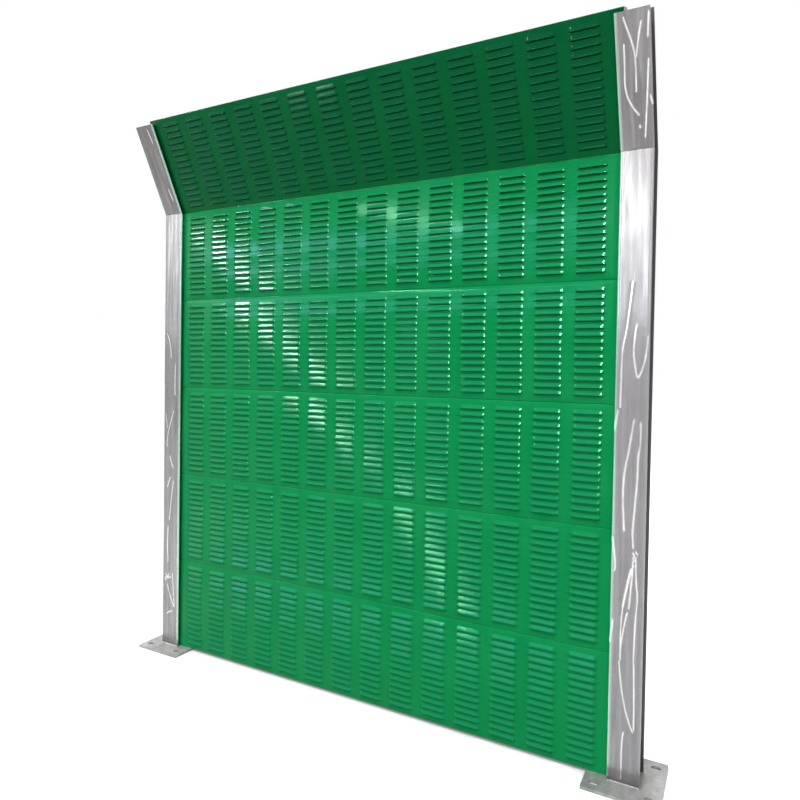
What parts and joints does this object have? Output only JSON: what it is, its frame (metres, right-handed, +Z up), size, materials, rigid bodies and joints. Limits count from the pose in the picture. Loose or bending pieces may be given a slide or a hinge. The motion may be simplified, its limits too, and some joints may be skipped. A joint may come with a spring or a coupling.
{
  "type": "noise barrier section",
  "caption": "Noise barrier bay: louvred green panels stacked between galvanised H-posts on slotted base plates, with a panel that leans over the road side at the top.",
  "frame": {"origin": "centre of the underside of the left base plate", "axes": "+X along the wall to the right-hand post as seen from the louvred side, -Y the louvred road side that the top panel leans over, +Z up"},
  "size_m": [2.86, 0.4147, 2.998],
  "materials": {
    "galvanised_plate": "dull hot-dip galvanised",
    "galvanised_post": "hot-dip galvanised",
    "galvanised_arm": "hot-dip galvanised",
    "weld": "galvanised weld bead",
    "film": "clear crumpled protective film",
    "green_louvred_sheet": "gloss green powder coat",
    "green_back_sheet": "gloss green powder coat",
    "green_end_cap": "gloss green powder coat",
    "mineral_wool": "fibrous wool slab"
  },
  "bodies": {
    "root": {"left_base_plate": "galvanised_plate", "left_post": "galvanised_post", "left_arm": "galvanised_arm", "left_foot_weld": "weld", "left_post_film": "film", "left_arm_film": "film", "right_base_plate": "galvanised_plate", "right_post": "galvanised_post", "right_arm": "galvanised_arm", "right_foot_weld": "weld", "right_post_film": "film", "right_arm_film": "film", "panel_1_louvred_sheet": "green_louvred_sheet", "panel_1_back_sheet": "green_back_sheet", "panel_1_left_cap": "green_end_cap", "panel_1_right_cap": "green_end_cap", "panel_1_wool": "mineral_wool", "panel_2_louvred_sheet": "green_louvred_sheet", "panel_2_back_sheet": "green_back_sheet", "panel_2_left_cap": "green_end_cap", "panel_2_right_cap": "green_end_cap", "panel_2_wool": "mineral_wool", "panel_3_louvred_sheet": "green_louvred_sheet", "panel_3_back_sheet": "green_back_sheet", "panel_3_left_cap": "green_end_cap", "panel_3_right_cap": "green_end_cap", "panel_3_wool": "mineral_wool", "panel_4_louvred_sheet": "green_louvred_sheet", "panel_4_back_sheet": "green_back_sheet", "panel_4_left_cap": "green_end_cap", "panel_4_right_cap": "green_end_cap", "panel_4_wool": "mineral_wool", "panel_5_louvred_sheet": "green_louvred_sheet", "panel_5_back_sheet": "green_back_sheet", "panel_5_left_cap": "green_end_cap", "panel_5_right_cap": "green_end_cap", "panel_5_wool": "mineral_wool", "leaning_panel_louvred_sheet": "green_louvred_sheet", "leaning_panel_back_sheet": "green_back_sheet", "leaning_panel_left_cap": "green_end_cap", "leaning_panel_right_cap": "green_end_cap", "leaning_panel_wool": "mineral_wool"}
  },
  "joints": []
}
